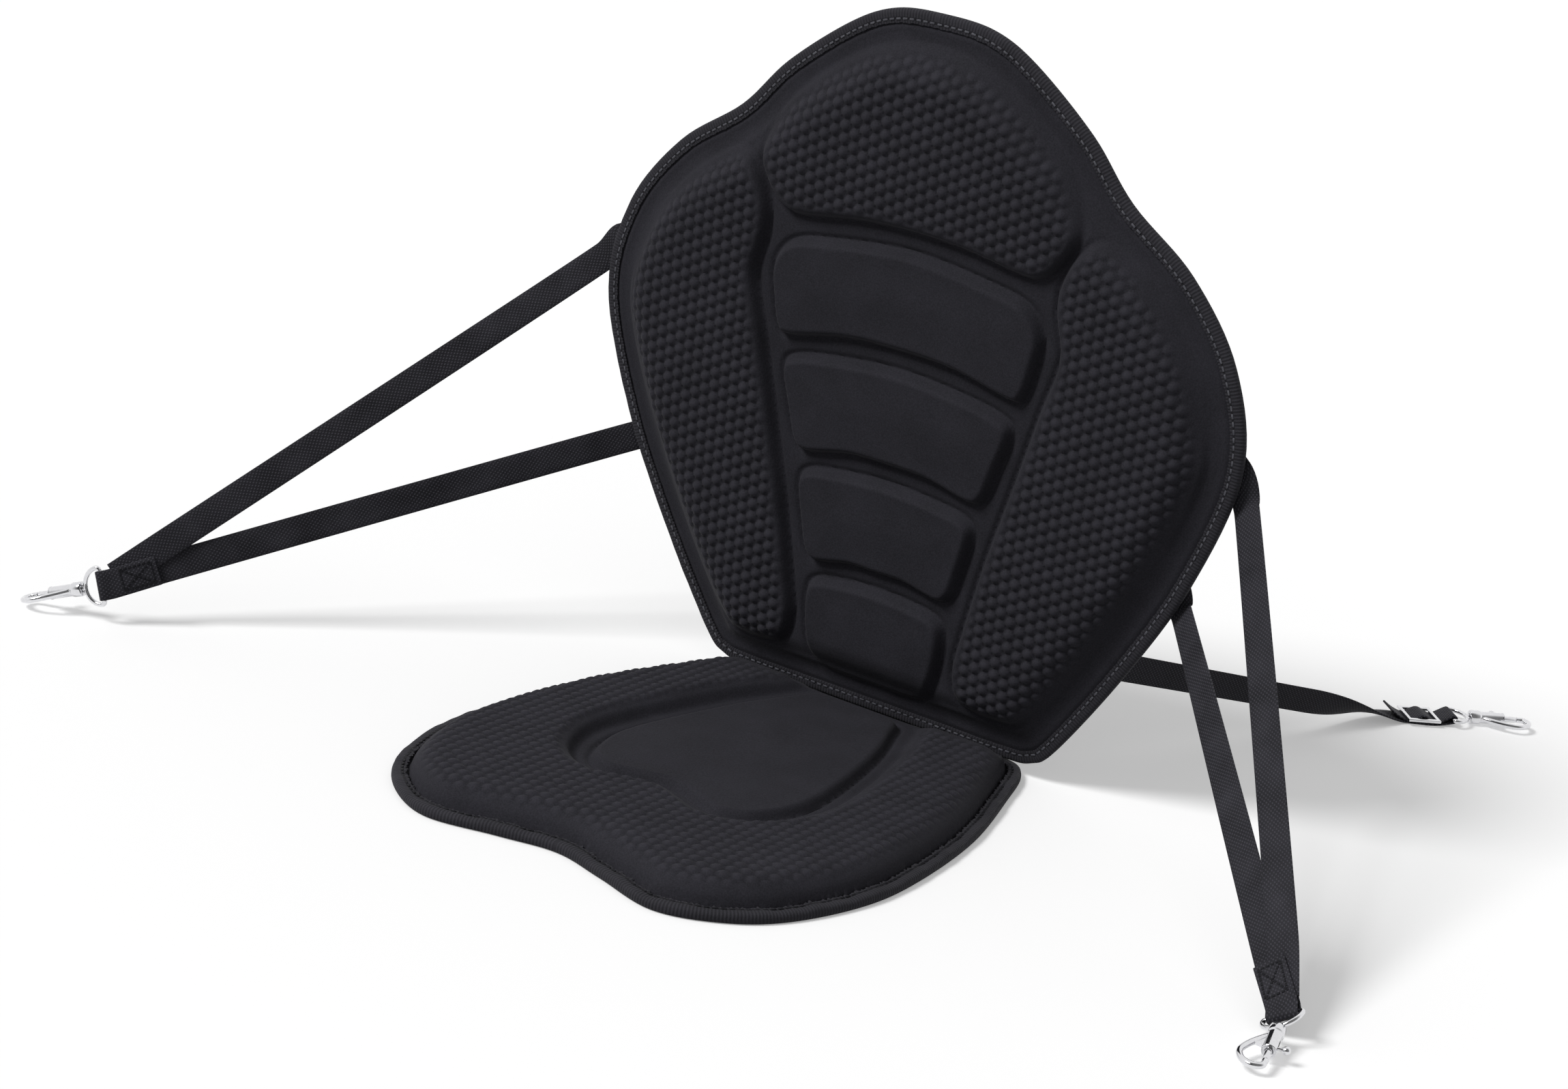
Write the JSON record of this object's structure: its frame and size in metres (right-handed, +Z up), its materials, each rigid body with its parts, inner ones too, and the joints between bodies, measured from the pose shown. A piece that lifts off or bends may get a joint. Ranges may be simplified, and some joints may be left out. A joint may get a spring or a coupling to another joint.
{
  "type": "kayak seat",
  "caption": "Padded clip-in kayak seat: moulded foam seat and high back joined at a fold, with webbing straps that end in swivel bolt snaps.",
  "frame": {"origin": "middle of the seat's flat underside, on the surface it rests on", "axes": "+X to the right seen from the front, -Y towards the seat's front edge, +Z up"},
  "size_m": [0.9268, 0.774, 0.4854],
  "materials": {
    "foam_fabric": "matt knit cover over moulded foam, black",
    "edge_tape": "ribbed black binding tape",
    "lining": "black woven lining",
    "webbing": "black polypropylene webbing",
    "stiffener": "black sheet plastic",
    "plated_steel": "bright nickel plating"
  },
  "bodies": {
    "seat": {"seat_edge_binding": "edge_tape", "seat_underside_lining": "lining", "seat_base_board": "stiffener", "seat_cushion": "foam_fabric", "hinge_strip": "lining", "left_upper_strap": "webbing", "left_lower_strap": "webbing", "right_upper_strap": "webbing", "right_lower_strap": "webbing", "rear_left_strap": "webbing", "rear_right_strap": "webbing", "rear_left_slide": "plated_steel", "rear_right_slide": "plated_steel", "left_snap_eye": "plated_steel", "right_snap_eye": "plated_steel", "rear_left_snap_eye": "plated_steel", "rear_right_snap_eye": "plated_steel"},
    "backrest": {"back_edge_binding": "edge_tape", "back_rear_lining": "lining", "back_stiffener_board": "stiffener", "back_cushion": "foam_fabric", "left_upper_patch": "webbing", "left_lower_patch": "webbing", "right_upper_patch": "webbing", "right_lower_patch": "webbing", "rear_left_patch": "webbing", "rear_right_patch": "webbing"},
    "left_snap": {"left_snap_body": "plated_steel", "left_snap_spring": "plated_steel"},
    "left_bolt": {"left_snap_bolt": "plated_steel"},
    "right_snap": {"right_snap_body": "plated_steel", "right_snap_spring": "plated_steel"},
    "right_bolt": {"right_snap_bolt": "plated_steel"},
    "rear_left_snap": {"rear_left_snap_body": "plated_steel", "rear_left_snap_spring": "plated_steel"},
    "rear_left_bolt": {"rear_left_snap_bolt": "plated_steel"},
    "rear_right_snap": {"rear_right_snap_body": "plated_steel", "rear_right_snap_spring": "plated_steel"},
    "rear_right_bolt": {"rear_right_snap_bolt": "plated_steel"}
  },
  "joints": [
    {"name": "back_fold", "type": "hinge", "parent": "seat", "child": "backrest", "pos_m": [0, 0.17651, 0.00697], "axis": [1, 0, 0], "range_deg": [0, 26], "deforming": ["hinge_strip", "left_upper_strap", "left_lower_strap", "right_upper_strap", "right_lower_strap", "rear_left_strap", "rear_right_strap"]},
    {"name": "left_snap_swivel", "type": "hinge", "parent": "seat", "child": "left_snap", "pos_m": [-0.434, -0.113, 0.026], "axis": [-0.9064, -0.2223, -0.3591], "continuous": true},
    {"name": "left_bolt_slide", "type": "slide", "parent": "left_snap", "child": "left_bolt", "axis": [0.9064, 0.2223, 0.3591], "range_m": [0, 0.0055], "stiffness_N_per_m": 300, "springref_m": -0.003, "deforming": ["left_snap_spring"]},
    {"name": "right_snap_swivel", "type": "hinge", "parent": "seat", "child": "right_snap", "pos_m": [0.4185, -0.046, 0.014], "axis": [0.2715, -0.9545, -0.1234], "continuous": true},
    {"name": "right_bolt_slide", "type": "slide", "parent": "right_snap", "child": "right_bolt", "axis": [-0.2715, 0.9545, 0.1234], "range_m": [0, 0.0055], "stiffness_N_per_m": 300, "springref_m": -0.003, "deforming": ["right_snap_spring"]},
    {"name": "rear_left_snap_swivel", "type": "hinge", "parent": "seat", "child": "rear_left_snap", "pos_m": [-0.268, 0.541, 0.0058], "axis": [-0.7305, 0.6829, 0], "continuous": true},
    {"name": "rear_left_bolt_slide", "type": "slide", "parent": "rear_left_snap", "child": "rear_left_bolt", "axis": [0.7305, -0.6829, 0], "range_m": [0, 0.0055], "stiffness_N_per_m": 300, "springref_m": -0.003, "deforming": ["rear_left_snap_spring"]},
    {"name": "rear_right_snap_swivel", "type": "hinge", "parent": "seat", "child": "rear_right_snap", "pos_m": [0.268, 0.541, 0.0058], "axis": [0.7305, 0.6829, 0], "continuous": true},
    {"name": "rear_right_bolt_slide", "type": "slide", "parent": "rear_right_snap", "child": "rear_right_bolt", "axis": [-0.7305, -0.6829, 0], "range_m": [0, 0.0055], "stiffness_N_per_m": 300, "springref_m": -0.003, "deforming": ["rear_right_snap_spring"]}
  ]
}
